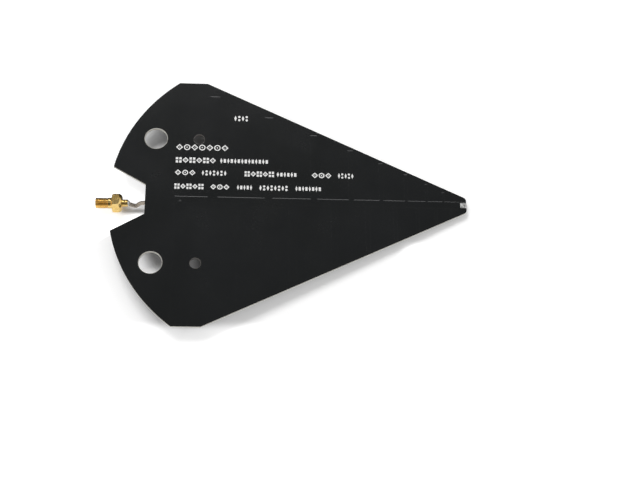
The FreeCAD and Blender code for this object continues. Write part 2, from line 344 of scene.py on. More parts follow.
def mask_layers(shader):
    """Black solder mask, satin and a little uneven, with fine orange peel and specks of dust."""
    dark = (0.0036, 0.0044, 0.0044)
    pale = (0.0062, 0.007, 0.0076)
    dust_colour = (0.22, 0.22, 0.2)
    dust_roughness = (0.8, 0.8, 0.8)
    speck_radius = 0.012
    specks_left_out = 0.86

    shader.set(Specular_IOR_Level=0.4)
    tone = shader.ramp(shader.noise(14.0, 4.0), [(0.3, dark), (0.7, pale)])
    specks = shader.add("TexVoronoi", feature="F1")
    specks.inputs["Scale"].default_value = 90.0
    shader.link(shader.place(), specks, "Vector")
    near_speck = shader.math("LESS_THAN", specks.outputs["Distance"], speck_radius)
    picked = shader.add("SeparateColor")
    shader.link(specks.outputs["Color"], picked, "Color")
    rare = shader.math("GREATER_THAN", picked.outputs[0], specks_left_out)
    dust = shader.times(near_speck, rare)
    colour = shader.mix(dust, tone, dust_colour)
    satin = shader.ramp(shader.noise(38.0, 5.0), [(0.3, 0.22), (0.7, 0.28)])
    roughness = shader.mix(dust, satin, dust_roughness)
    return colour, roughness, shader.bump(shader.noise(900.0, 2.0), 0.004)


def near_hole(shader, hole_x, radius):
    """One inside a circle round either of a pair of holes across the board, nought outside."""
    place = shader.parts_of(shader.place())
    off_x = shader.minus(place["X"], hole_x * MM)
    off_y = shader.minus(shader.absolute(place["Y"]), HOLE_Y * MM)
    away = shader.plus(shader.math("POWER", off_x, 2.0), shader.math("POWER", off_y, 2.0))
    return shader.math("LESS_THAN", away, (radius * MM) ** 2)


def board_material():
    """Mask on both faces, bare laminate on cut edges, hole walls and a thin ring round each hole, with
    painted shade at the small holes.
    """
    shader = Shader("solder_mask_on_laminate")
    mask_colour, mask_roughness, mask_normal = mask_layers(shader)
    layers = shader.noise(160.0, 3.0, stretch=(1.0, 1.0, 34.0))
    cut_edge = shader.ramp(layers, [(0.32, (0.52, 0.5, 0.44)), (0.68, (0.8, 0.79, 0.74))])
    rear_ring = (0.4, 0.39, 0.36)
    small_hole_shade = (0.16, 0.15, 0.14)
    bare_roughness = (0.75, 0.75, 0.75)

    facing = shader.parts_of(shader.add("NewGeometry").outputs["True Normal"])
    upright = shader.math("LESS_THAN", shader.absolute(facing["Z"]), 0.5)
    in_rear = near_hole(shader, REAR_HOLE_X, REAR_HOLE_RADIUS + REAR_HOLE_RING)
    in_small = near_hole(shader, SMALL_HOLE_X, SMALL_HOLE_RADIUS + SMALL_HOLE_RING)
    bare = shader.larger(upright, in_rear, in_small)
    laminate = shader.mix(upright, rear_ring, cut_edge)
    # Painted shade: the small holes' walls and the rings round them are darker than the same laminate
    # elsewhere
    laminate = shader.mix(in_small, laminate, small_hole_shade)
    colour = shader.mix(bare, mask_colour, laminate)
    roughness = shader.mix(bare, mask_roughness, bare_roughness)
    return shader.finished(colour, roughness, mask_normal)


def masked_copper_material():
    """The same mask where it runs over the copper."""
    shader = Shader("solder_mask_on_copper")
    return shader.finished(*mask_layers(shader))


def print_material():
    """Screen printed white ink, thin in places."""
    shader = Shader("white_ink")
    cover = shader.noise(1400.0, 3.0)
    colour = shader.ramp(cover, [(0.25, (0.55, 0.55, 0.55)), (0.45, (0.9, 0.9, 0.89))])
    roughness = shader.ramp(cover, [(0.3, 0.5), (0.7, 0.68)])
    return shader.finished(colour, roughness, shader.bump(cover, 0.006))


def solder_material():
    """Solder that froze slightly frosted, darker in the low places of its grain."""
    shader = Shader("solder")
    shader.set(Metallic=1.0)
    grains = shader.noise(1100.0, 4.0)
    colour = shader.ramp(grains, [(0.25, (0.26, 0.25, 0.24)), (0.55, (0.86, 0.86, 0.85))])
    roughness = shader.ramp(shader.noise(500.0, 2.0), [(0.3, 0.24), (0.7, 0.42)])
    return shader.finished(colour, roughness, shader.bump(grains, 0.03))


def gold_material(name, bright, dull, ring_scale):
    """Gold plate over turned brass, with fine tool rings round the axis and slightly dulled places."""
    shader = Shader(name)
    shader.set(Metallic=1.0)
    colour = shader.ramp(shader.noise(260.0, 3.0), [(0.25, dull), (0.6, bright)])
    roughness = shader.ramp(shader.noise(800.0, 3.0), [(0.3, 0.14), (0.7, 0.26)])
    rings = shader.noise(ring_scale, 2.0, stretch=(1.0, 0.04, 0.04))
    return shader.finished(colour, roughness, shader.bump(rings, 0.008))


def braid_material():
    """Tin soaked braid: crossed bands of fine wires with painted shade between them, worked out from the
    piece's UV map.
    """
    bands_a_millimetre = 0.62
    bands_round = 8.0
    shade_between_bands = (0.26, 0.215, 0.18)
    on_bands = (0.68, 0.6, 0.51)

    shader = Shader("tinned_braid")
    shader.set(Metallic=1.0)
    spot = shader.parts_of(shader.add("UVMap").outputs[0])
    along = shader.times(spot["X"], 2.0 * math.pi * bands_a_millimetre)
    around = shader.times(spot["Y"], 2.0 * math.pi * bands_round)
    one_way = shader.math("SINE", shader.plus(along, around))
    other_way = shader.math("SINE", shader.minus(along, around))
    weave = shader.larger(one_way, other_way)
    wires = shader.noise(2600.0, 2.0, stretch=(0.3, 1.0, 1.0))
    height = shader.plus(shader.times(weave, 0.6), wires)
    # Painted shade: the braid is darker between its bands
    colour = shader.ramp(weave, [(0.0, shade_between_bands), (0.75, on_bands)])
    roughness = shader.ramp(wires, [(0.3, 0.28), (0.7, 0.42)])
    return shader.finished(colour, roughness, shader.bump(height, 0.05))


def dielectric_material():
    """Milky fluoropolymer that lets some light in."""
    shader = Shader("white_fluoropolymer")
    shader.set(Subsurface_Weight=0.25, Subsurface_Scale=0.4 * MM)
    cloud = shader.noise(700.0, 2.0)
    colour = shader.ramp(cloud, [(0.3, (0.76, 0.75, 0.71)), (0.7, (0.84, 0.84, 0.81))])
    roughness = shader.ramp(cloud, [(0.3, 0.36), (0.7, 0.5)])
    return shader.finished(colour, roughness, shader.bump(shader.noise(1500.0, 2.0), 0.004))


def silver_wire_material():
    """Silvered wire with draw lines along it."""
    shader = Shader("silvered_wire")
    shader.set(Metallic=1.0)
    lines = shader.noise(1800.0, 2.0, stretch=(0.05, 1.0, 1.0))
    colour = shader.ramp(lines, [(0.3, (0.6, 0.59, 0.56)), (0.7, (0.82, 0.81, 0.79))])
    roughness = shader.ramp(lines, [(0.3, 0.2), (0.7, 0.32)])
    return shader.finished(colour, roughness, shader.bump(lines, 0.006))


def new_piece(name, points, faces, material, smooth=False, replaced=(), slot=None):
    """Mesh object from millimetre points that rides with the antenna."""
    mesh = bpy.data.meshes.new(name)
    mesh.from_pydata([Vector(p) * MM for p in points], [], faces)
    mesh.validate()
    if smooth:
        mesh.shade_smooth()
    else:
        mesh.shade_flat()
    mesh.materials.append(material)
    piece = bpy.data.objects.new(name, mesh)
    bpy.context.scene.collection.objects.link(piece)
    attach(piece, "root")
    if replaced:
        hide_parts(*replaced)
    return piece


def smooth_by_angle(piece, degrees):
    """Smooth shading, but for edges sharper than an angle."""
    mesh = piece.data
    mesh.shade_smooth()
    mesh.set_sharp_from_angle(angle=math.radians(degrees))


def ring_faces(rings, segments):
    """Faces between rings of points that follow each other, with as many points each."""
    faces = []
    for row in range(rings - 1):
        here = row * segments
        there = here + segments
        for k in range(segments):
            follow = (k + 1) % segments
            faces.append((here + k, there + k, there + follow, here + follow))
    return faces


def arm_centre_x(index):
    return APEX_X - (APEX_X - REAR_ARM_X) * ARM_SPACING_RATIO ** index


def arm_reach(index):
    share = (TIP_X - arm_centre_x(index)) / (TIP_X - REAR_ARM_X)
    return REAR_ARM_LENGTH * share ** ARM_LENGTH_POWER


def arm_half_width(index):
    return (APEX_X - arm_centre_x(index)) * ARM_WIDTH_SHARE / 2.0


def array_outline(first_side, end_x):
    """Corners of the boom with its arms, anticlockwise from the boom's rear end."""
    start_x = REAR_ARM_X - arm_half_width(0)
    corners = [(start_x, -BOOM_HALF_WIDTH)]
    for side in (-1, 1):
        indices = [i for i in range(ARM_COUNT) if (first_side if i % 2 == 0 else -first_side) == side]
        if side == 1:
            indices.reverse()
            corners.append((end_x, -BOOM_HALF_WIDTH))
            corners.append((end_x, BOOM_HALF_WIDTH))
        for index in indices:
            near = arm_centre_x(index) + side * arm_half_width(index)
            far = arm_centre_x(index) - side * arm_half_width(index)
            root = side * BOOM_HALF_WIDTH
            tip = side * arm_reach(index)
            corners += [(near, root), (near, tip), (far, tip), (far, root)]
    corners.append((start_x, BOOM_HALF_WIDTH))
    return real_corners(corners)


def real_corners(corners):
    """Drops repeated corners and corners in the middle of a straight run."""
    kept = [p for p, q in zip(corners, corners[1:] + corners[:1]) if Vector(p) != Vector(q)]
    sharp = []
    for index, here in enumerate(kept):
        before = Vector(kept[index - 1]) - Vector(here)
        after = Vector(kept[(index + 1) % len(kept)]) - Vector(here)
        if abs(before.x * after.y - before.y * after.x) > 1e-6:
            sharp.append(here)
    return sharp


def grown(outline, distance):
    """Outline of square corners moved outwards by a distance."""
    moved = []
    for index, here in enumerate(outline):
        before = (Vector(here) - Vector(outline[index - 1])).normalized()
        after = (Vector(outline[(index + 1) % len(outline)]) - Vector(here)).normalized()
        out = Vector((before.y, -before.x)) + Vector((after.y, -after.x))
        moved.append((here[0] + out.x * distance, here[1] + out.y * distance))
    return moved


def make_array(name, node, first_side, end_x, face_z, outward, material):
    """Copper under the mask: a flat top with rounded shoulders, where the mask runs to the board."""
    outline = array_outline(first_side, end_x)
    count = len(outline)
    points = []
    for step in range(MASK_SHOULDER_STEPS + 1):
        share = step / MASK_SHOULDER_STEPS
        rise = MASK_RISE * (1.0 - math.cos(math.pi * share)) / 2.0
        ring = grown(outline, MASK_OUTSIDE_EDGE - MASK_SHOULDER_WIDTH * share)
        points += [(x, y, face_z + outward * rise) for x, y in ring]
    faces = [face[::-1] for face in ring_faces(MASK_SHOULDER_STEPS + 1, count)]
    faces.append(tuple(range(MASK_SHOULDER_STEPS * count, (MASK_SHOULDER_STEPS + 1) * count)))
    piece = new_piece(name, points, faces, material, replaced=(node,), slot="masked_copper")
    face_away(piece, outward)


def face_away(piece, outward):
    """Turns a low relief's faces to look away from the board."""
    mesh = piece.data
    if sum(face.normal.z * face.area for face in mesh.polygons) * outward < 0:
        mesh.flip_normals()


def along_jack(s, around, radius):
    """Point at a place along the jack's axis, an angle round it and a radius."""
    side = Vector((-math.sin(TABLE_TILT), 0.0, math.cos(TABLE_TILT)))
    centre = JACK_REAR - JACK_AXIS * (JACK_LENGTH - s)
    return centre + Vector((0, 1, 0)) * (radius * math.cos(around)) + side * (radius * math.sin(around))


def thread_radius(s, around):
    """Thread of 60 degrees with flats at crest and root, cut back by the lead in."""
    phase = (s / THREAD_PITCH - around / (2.0 * math.pi)) % 1.0
    to_root = (1.0 - THREAD_ROOT_FLAT) / 2.0 - abs(phase - 0.5)
    flank = (1.0 - THREAD_ROOT_FLAT - THREAD_CREST_FLAT) / 2.0
    wave = min(max(to_root / flank, 0.0), 1.0)
    return min(THREAD_ROOT + (THREAD_CREST - THREAD_ROOT) * wave, THREAD_ROOT + s * LEAD_IN_SLOPE)


def hex_radius(s, around):
    """Hexagon with a flat below, its corners bevelled in front and a deep chamfer behind."""
    flat = HEX_ACROSS_FLATS / 2.0
    sixth = math.radians(60.0)
    off_flat = (around + math.radians(90.0) + sixth / 2.0) % sixth - sixth / 2.0
    front_bevel = flat - HEX_BEVEL + (s - HEX_START) / HEX_BEVEL_SLOPE
    rear_chamfer = flat - HEX_CHAMFER + (HEX_END - s)
    return min(flat / math.cos(off_flat), front_bevel, rear_chamfer)


def rows_between(start_s, end_s, rows, formula, first=0):
    """Stations at equal steps, whose radius a formula gives for each angle."""
    return [(start_s + (end_s - start_s) * row / rows, formula) for row in range(first, rows + 1)]


def jack_profile():
    """Stations of the body from the mouth's floor, out over the outside and in at the cable."""
    return [
        (MOUTH_DEPTH, INSULATOR_BORE),
        (MOUTH_DEPTH, MOUTH_RADIUS),
        (MOUTH_CHAMFER, MOUTH_RADIUS),
        (0.0, MOUTH_RADIUS + MOUTH_CHAMFER),
        (0.0, BARREL_FACE_RADIUS),
        *rows_between(0.0, THREAD_LENGTH, THREAD_ROWS, thread_radius, first=1),
        (GROOVE_START, GROOVE_RADIUS),
        (GROOVE_END, GROOVE_RADIUS),
        (SHOULDER_START, SHOULDER_RADIUS),
        (HEX_START - WASHER_LENGTH - WASHER_CONE, SHOULDER_RADIUS),
        (HEX_START - WASHER_LENGTH, WASHER_RADIUS),
        (HEX_START, WASHER_RADIUS),
        *rows_between(HEX_START, HEX_START + HEX_BEVEL_LENGTH, HEX_BEVEL_ROWS, hex_radius),
        *rows_between(HEX_END - HEX_CHAMFER_LENGTH, HEX_END, HEX_CHAMFER_ROWS, hex_radius),
        (HEX_END, COLLAR_RADIUS),
        (JACK_LENGTH - COLLAR_CHAMFER, COLLAR_RADIUS),
        (JACK_LENGTH, COLLAR_RADIUS - COLLAR_CHAMFER),
        (JACK_LENGTH, COLLAR_BORE),
        (JACK_LENGTH - COLLAR_BORE_SHOWN, COLLAR_BORE),
    ]


def make_jack_body(material):
    """Threaded barrel, run out groove, shoulder, hexagon and cable collar, turned from one bar."""
    profile = jack_profile()
    points = []
    for s, radius in profile:
        for k in range(JACK_SEGMENTS):
            around = 2.0 * math.pi * k / JACK_SEGMENTS
            reach = radius(s, around) if callable(radius) else radius
            points.append(along_jack(s, around, reach))
    faces = ring_faces(len(profile), JACK_SEGMENTS)
    piece = new_piece(
        "jack_body_turned", points, faces, material,
        replaced=("jack_body",), slot="gold_plate",
    )
    mend_normals(piece)
    smooth_by_angle(piece, 28.0)


def mend_normals(piece):
    """Joins points that coincide and turns all the faces outwards."""
    shape = bmesh.new()
    shape.from_mesh(piece.data)
    bmesh.ops.remove_doubles(shape, verts=shape.verts, dist=0.0005 * MM)
    bmesh.ops.recalc_face_normals(shape, faces=shape.faces)
    shape.to_mesh(piece.data)
    shape.free()


def cable_route():
    """Middle of the cable from inside the jack's collar to the braid's front end."""
    # Bent by hand in the notch: down, up again and on to the board's underside
    bends = [
        JACK_REAR - JACK_AXIS * 1.4,
        JACK_REAR + JACK_AXIS * 0.6 + Vector((0.0, -0.4, -0.3)),
        JACK_REAR + JACK_AXIS * 1.8 + Vector((0.0, -0.5, -1.1)),
        JACK_REAR + JACK_AXIS * 3.6 + Vector((0.0, -0.9, -2.0)),
        JACK_REAR + JACK_AXIS * 5.2 + Vector((0.0, -1.0, -1.8)),
        JACK_REAR + JACK_AXIS * 6.8 + Vector((0.0, 0.3, -0.2)),
        Vector((-31.0, -0.2, -3.9)),
        Vector((-27.0, -0.4, -1.6)),
        Vector((-21.0, 0.0, COAX_AXIS_Z)),
        Vector((-14.0, 0.0, COAX_AXIS_Z)),
    ]
    centres = [JACK_REAR - JACK_AXIS * CABLE_SOCKET_DEPTH] + smooth_route(bends)
    front = Vector((SHIELD_FRONT_X, 0.0, COAX_AXIS_Z))
    for parts_left in range(STRAIGHT_PARTS, 0, -1):
        centres.append(centres[-1].lerp(front, 1.0 / parts_left))
    return centres


def smooth_route(bends):
    """Points read from the NURBS curve of a route."""
    data = bpy.data.curves.new("route", "CURVE")
    data.dimensions = "3D"
    spline = data.splines.new("NURBS")
    spline.points.add(len(bends) - 1)
    for point, place in zip(spline.points, bends):
        point.co = (*place, 1.0)
    spline.order_u = 4
    spline.use_endpoint_u = True
    spline.resolution_u = ROUTE_RESOLUTION
    carrier = bpy.data.objects.new("route", data)
    line = bpy.data.meshes.new_from_object(carrier)
    places = [vertex.co.copy() for vertex in line.vertices]
    bpy.data.objects.remove(carrier)
    bpy.data.curves.remove(data)
    bpy.data.meshes.remove(line)
    return places


def tube_piece(name, centres, radius, segments, material, **more):
    """Round tube along a line of points. Its UV map gives millimetres along it and turns round it."""
    points = []
    run = [0.0]
    side = Vector((0.0, 1.0, 0.0))
    for index, centre in enumerate(centres):
        before = centres[max(index - 1, 0)]
        after = centres[min(index + 1, len(centres) - 1)]
        way = (after - before).normalized()
        side = (side - way * side.dot(way)).normalized()
        up = way.cross(side)
        for k in range(segments):
            around = 2.0 * math.pi * k / segments
            points.append(centre + side * (radius * math.cos(around)) + up * (radius * math.sin(around)))
        if index:
            run.append(run[-1] + (centre - before).length)
    spots = []
    for near, far in zip(run, run[1:]):
        for k in range(segments):
            spots += [(near, k), (far, k), (far, k + 1), (near, k + 1)]
    faces = ring_faces(len(centres), segments)
    faces.append(tuple(range(segments)))
    faces.append(tuple(len(points) - 1 - k for k in range(segments)))
    spots += [(0.0, 0)] * (2 * segments)
    piece = new_piece(name, points, faces, material, smooth=True, **more)
    layer = piece.data.uv_layers.new(name="along")
    for loop, (along, around) in zip(layer.data, spots):
        loop.uv = (along, around / segments)
    smooth_by_angle(piece, 40.0)


def make_cable(braid, white, silver):
    """Tinned braid over its white core, and the wire that turns up through the board at the tip."""
    centres = cable_route()
    tube_piece(
        "coax_braid", centres, SHIELD_RADIUS, 32, braid,
        replaced=("coax_shield",), slot="tinned_shield",
    )
    core = centres + [Vector((SHIELD_FRONT_X + CORE_BARE_LENGTH, 0.0, COAX_AXIS_Z))]
    tube_piece(
        "coax_core", core, CORE_RADIUS, 24, white,
        replaced=("coax_dielectric",), slot="white_dielectric",
    )
    wire = [centres[0] - JACK_AXIS * SOLDER_CUP_DEPTH] + centres
    turn = Vector((FEED_HOLE_X - WIRE_BEND_RADIUS, 0.0, COAX_AXIS_Z + WIRE_BEND_RADIUS))
    for k in range(WIRE_BEND_STEPS + 1):
        angle = math.radians(90.0) * k / WIRE_BEND_STEPS
        wire.append(turn + Vector((math.sin(angle), 0.0, -math.cos(angle))) * WIRE_BEND_RADIUS)
    wire.append(Vector((FEED_HOLE_X, 0.0, BOARD_TOP + WIRE_STAND)))
    tube_piece(
        "coax_wire", wire, WIRE_RADIUS, 16, silver,
        replaced=("coax_centre_wire",), slot="silver_wire",
    )


def pad_dome(along, across):
    """Height of the tip's solder at a place in its square: steep at the rim and flat on top."""
    return ((1.0 - abs(along) ** 3.2) * (1.0 - abs(across) ** 3.2)) ** 0.5


def round_dome(along, across):
    """Height of a low round bump at a place in its square."""
    return max(1.0 - along * along - across * across, 0.0)


def saddle_dome(along, across):
    """Height of a solder saddle at a place in its square: round at the ends, falling to the sides."""
    return (1.0 - along * along) ** 0.7 * (1.0 - abs(across) ** 1.6)


def add_mound(points, faces, centre, size, upward, unevenness, dome):
    """Adds a bump on a flat base, uneven as it froze. Size is its length in X, width and height."""
    length, width, height = size
    start = len(points)
    for i in range(MOUND_CELLS + 1):
        for j in range(MOUND_CELLS + 1):
            along = 2.0 * i / MOUND_CELLS - 1.0
            across = 2.0 * j / MOUND_CELLS - 1.0
            x = centre.x + along * length / 2.0
            y = centre.y + across * width / 2.0
            lump_place = (x * MOUND_LUMP_SCALE, y * MOUND_LUMP_SCALE, centre.x)
            grain_place = (x * MOUND_GRAIN_SCALE, y * MOUND_GRAIN_SCALE, centre.x + MOUND_GRAIN_SHIFT)
            uneven = noise.noise(Vector(lump_place)) + 0.5 * noise.noise(Vector(grain_place))
            rise = height * dome(along, across) * (1.0 + unevenness * uneven)
            points.append((x, y, centre.z + upward * rise))
    for i in range(MOUND_CELLS):
        for j in range(MOUND_CELLS):
            here = start + i * (MOUND_CELLS + 1) + j
            there = here + MOUND_CELLS + 1
            face = (here, there, there + 1, here + 1)
            faces.append(face if upward > 0 else face[::-1])


def make_mounds(name, mounds, size, unevenness, dome, material, **more):
    """Piece of one or more bumps, given as (centre, 1 for up or -1 for down)."""
    points = []
    faces = []
    for centre, upward in mounds:
        add_mound(points, faces, centre, size, upward, unevenness, dome)
    new_piece(name, points, faces, material, smooth=True, **more)


def make_tip_solder(material):
    """Bare pad at the tip, tinned right to the edge, with the feed wire's end in it."""
    centre = Vector((TIP_PAD_X, 0.0, BOARD_TOP + TIP_PAD_GAP))
    make_mounds(
        "tip_solder_pad", [(centre, 1)], TIP_PAD_SIZE, TIP_PAD_UNEVENNESS, pad_dome, material,
        replaced=("tip_solder_joint",), slot="solder",
    )


def make_boom_saddles(material):
    """Row of solder saddles that hold the braid to the lower boom."""
    first_x = REAR_ARM_X - arm_half_width(0) + SADDLE_INSET
    last_x = SHIELD_FRONT_X - SADDLE_INSET
    mounds = []
    for index in range(SADDLE_COUNT):
        x = first_x + (last_x - first_x) * index / (SADDLE_COUNT - 1)
        mounds.append((Vector((x, 0.0, 0.0)), -1))
    make_mounds(
        "boom_saddles", mounds, SADDLE_SIZE, SADDLE_UNEVENNESS, saddle_dome, material,
        replaced=("boom_solder_joints",), slot="solder",
    )


def make_link_heads(material):
    """Both ends of the link at the boom's rear end, soft bumps because the mask covers them."""
    mounds = []
    for face_z, upward in ((BOARD_TOP, 1), (0.0, -1)):
        mounds.append((Vector((REAR_ARM_X, LINK_Y, face_z + LINK_HEAD_BASE * upward)), upward))
    make_mounds(
        "link_heads", mounds, LINK_HEAD_SIZE, LINK_HEAD_UNEVENNESS, round_dome, material,
        replaced=("boom_short_link",), slot="masked_copper",
    )


INK_HEIGHT = 0.09
INK_STROKE = 0.6

# What a printed run repeats: its marks, a cell's width over its height, and how much of it a mark fills
BEADS = (("diamond", "target"), 1.1, 0.86)
TILES = (("grid", "diamond"), 1.1, 0.86)
DROPS = (("lozenge", "spots"), 0.6, 0.66)
PEGS = (("lozenge", "block"), 0.6, 0.66)

# Printed rows: the lower edge, the height, and runs of marks from one X to another
PRINT_ROWS = [
    (51.7, 3.6, [(20.2, 29.0, DROPS)]),
    (31.7, 4.0, [(-13.2, 17.6, BEADS)]),
    (23.6, 3.5, [(-13.2, 10.5, TILES), (12.5, 41.0, PEGS)]),
    (15.6, 3.4, [(-13.4, -1.0, BEADS), (2.0, 17.0, DROPS), (26.8, 44.4, TILES)]),
    (15.6, 3.4, [(45.5, 57.6, PEGS), (66.0, 77.8, BEADS), (81.2, 90.9, DROPS)]),
    (6.8, 3.4, [(-13.4, 3.8, TILES), (7.3, 18.6, BEADS), (22.5, 31.9, PEGS)]),
    (6.8, 3.4, [(35.4, 52.6, DROPS), (56.3, 71.8, PEGS)]),
]


def ink_polygon(points, faces, ring):
    """Adds one closed flat shape of ink, given anticlockwise."""
    start = len(points)
    count = len(ring)
    points += [(x, y, BOARD_TOP) for x, y in ring]
    points += [(x, y, BOARD_TOP + INK_HEIGHT) for x, y in ring]
    faces.append(tuple(start + count + k for k in range(count)))
    for k in range(count):
        follow = (k + 1) % count
        faces.append((start + k, start + follow, start + count + follow, start + count + k))


def ink_loop(points, faces, outer, inner):
    """Adds a closed band of ink between two rings with as many corners."""
    start = len(points)
    count = len(outer)
    for z in (BOARD_TOP, BOARD_TOP + INK_HEIGHT):
        points += [(x, y, z) for x, y in outer]
        points += [(x, y, z) for x, y in inner]
    top = start + 2 * count
    for k in range(count):
        follow = (k + 1) % count
        faces.append((top + k, top + follow, top + count + follow, top + count + k))
        faces.append((start + k, start + follow, top + follow, top + k))
        faces.append((start + count + follow, start + count + k, top + count + k, top + count + follow))


def regular_ring(x, y, radius, corners):
    """Corners of a regular shape, the first one towards +X."""
    turns = [2.0 * math.pi * k / corners for k in range(corners)]
    return [(x + radius * math.cos(turn), y + radius * math.sin(turn)) for turn in turns]


def rectangle(x, y, w, h):
    return [(x, y), (x + w, y), (x + w, y + h), (x, y + h)]


def print_mark(points, faces, kind, x, y, w, h):
    """One plain geometric mark of the printed pattern, in a cell of the given size."""
    middle_x = x + w / 2.0
    middle_y = y + h / 2.0
    radius = min(w, h) / 2.0
    if kind == "lozenge":
        sides = [(middle_x + radius, middle_y), (middle_x - radius, middle_y)]
        ink_polygon(points, faces, [sides[0], (middle_x, y + h), sides[1], (middle_x, y)])
    elif kind == "block":
        ink_polygon(points, faces, rectangle(x, y + 0.16 * h, w, 0.68 * h))
    elif kind == "spots":
        for spot_y in (y + radius, y + h - radius):
            ink_polygon(points, faces, regular_ring(middle_x, spot_y, radius, 10))
    elif kind == "diamond":
        outer = regular_ring(middle_x, middle_y, 1.08 * radius, 4)
        inner = regular_ring(middle_x, middle_y, 1.08 * radius - 1.4 * INK_STROKE, 4)
        ink_loop(points, faces, outer, inner)
        ink_polygon(points, faces, regular_ring(middle_x, middle_y, 0.5 * INK_STROKE, 4))
    elif kind == "grid":
        gap = 0.18
        for left in (x, middle_x + gap * w / 2.0):
            for low in (y, middle_y + gap * h / 2.0):
                tile = rectangle(left, low, (1.0 - gap) * w / 2.0, (1.0 - gap) * h / 2.0)
                ink_polygon(points, faces, tile)
    elif kind == "target":
        outer = regular_ring(middle_x, middle_y, radius, 16)
        inner = regular_ring(middle_x, middle_y, radius - INK_STROKE, 16)
        ink_loop(points, faces, outer, inner)
        ink_polygon(points, faces, regular_ring(middle_x, middle_y, 0.7 * INK_STROKE, 8))


def make_print(material):
    """White printed rows of plain marks, a generic pattern."""
    points = []
    faces = []
    for low_y, height, runs in PRINT_ROWS:
        for start_x, end_x, (kinds, cell_ratio, filled) in runs:
            cells = round((end_x - start_x) / (height * cell_ratio))
            step = (end_x - start_x) / cells
            for k in range(cells):
                kind = kinds[k % len(kinds)]
                print_mark(points, faces, kind, start_x + k * step, low_y, step * filled, height)
    new_piece("printed_marks", points, faces, material, slot="board")


# Strengths of the table's glow, which makes it as white as in the photograph
TABLE_GLOW = 0.26
FAR_GLOW = 0.6
# Painted light: more glow in the notch, past the lower side and on the table seen through the lower
# holes
NOTCH_GLOW = 0.45
LOWER_SIDE_GLOW = 0.36
REAR_HOLE_GLOW = 0.6
SMALL_HOLE_GLOW = 0.09
# Painted shadow: less glow beside the lower rear edge and by the cable
LOWER_REAR_SHADE = 0.1
CABLE_SHADE = 0.22


def depth_in_notch(shader, x, y):
    """How far a place lies inside the notch, below nought outside it."""
    behind_floor = shader.minus(NOTCH_FLOOR_X, x)
    half_width = shader.math("MULTIPLY_ADD", behind_floor, NOTCH_FLARE, NOTCH_FLOOR_HALF_WIDTH)
    to_flank = shader.minus(half_width, shader.absolute(y))
    return shader.math("MINIMUM", behind_floor, to_flank)


def outside_board(shader, x, y):
    """How far a place lies outside the board, and how far outside the circle of its rear edge."""
    slant = Vector((BOARD_HALF_WIDTH - TIP_HALF_WIDTH, TIP_X - FLAT_FRONT_X)).normalized()
    slant_distance = slant.dot(Vector((FLAT_FRONT_X, BOARD_HALF_WIDTH)))
    aside = shader.absolute(y)
    to_slant = shader.plus(shader.times(x, slant.x), shader.times(aside, slant.y))
    to_slant = shader.minus(to_slant, slant_distance)
    off_centre = shader.math("POWER", shader.minus(x, REAR_ARC_CENTRE_X), 2.0)
    from_centre = shader.math("SQRT", shader.plus(off_centre, shader.math("POWER", aside, 2.0)))
    to_arc = shader.minus(from_centre, REAR_ARC_RADIUS)
    return shader.larger(to_slant, to_arc, depth_in_notch(shader, x, y)), to_arc


def glow_all_round(shader, x, y, outside, to_arc):
    """White glow that ends under the board and is less where the photograph's shadow is wide."""
    glow = shader.times(shader.eased(outside, -16.0, 0.0), TABLE_GLOW)
    near_arc = shader.eased(to_arc, 15.0, 0.0)
    # Painted shadow: less glow beside the lower part of the rear edge
    lower_rear_shadow = shader.times(near_arc, shader.eased(y, -10.0, -24.0), shader.eased(x, 20.0, 0.0))
    glow = shader.minus(glow, shader.times(lower_rear_shadow, LOWER_REAR_SHADE))
    return shader.larger(glow, 0.0)


def glow_under_lower_holes(shader, x, y, to_arc):
    """Painted light on the table under the board, as if it reached in from behind, shown through its two
    lower holes.
    """
    beside = shader.times(shader.eased(y, -20.0, -27.0), shader.eased(y, -52.0, -44.0))
    rear = shader.times(shader.eased(to_arc, -20.5, -9.5), shader.eased(to_arc, -3.0, -8.0))
    small = shader.times(shader.eased(x, 4.0, -4.0), shader.eased(x, -12.0, -8.0))
    light = shader.plus(shader.times(rear, REAR_HOLE_GLOW), shader.times(small, SMALL_HOLE_GLOW))
    return shader.times(light, beside)


def glow_by_place(shader, x, y, to_arc):
    """Painted light in the notch, past the lower side and under the lower holes, and painted shadow by
    the cable.
    """
    seen_y = shader.minus(y, 4.4)
    notch = shader.eased(depth_in_notch(shader, x, seen_y), -2.5, 0.8)
    notch = shader.times(notch, shader.eased(to_arc, 22.0, 12.0))
    # Painted shadow: less glow on the table by the cable
    off_cable = shader.absolute(shader.plus(y, 0.8))
    cable_shadow_mask = shader.times(shader.eased(off_cable, 5.2, 1.6), shader.eased(x, -47.0, -42.0))
    cable_shadow_mask = shader.times(cable_shadow_mask, shader.eased(x, -22.0, -28.0))
    notch = shader.times(notch, shader.minus(1.0, cable_shadow_mask))
    lower_side = shader.eased(y, -69.0, -76.0)
    glow = shader.plus(shader.times(notch, NOTCH_GLOW), shader.times(lower_side, LOWER_SIDE_GLOW))
    glow = shader.minus(glow, shader.times(cable_shadow_mask, CABLE_SHADE))
    return shader.plus(glow, glow_under_lower_holes(shader, x, y, to_arc))


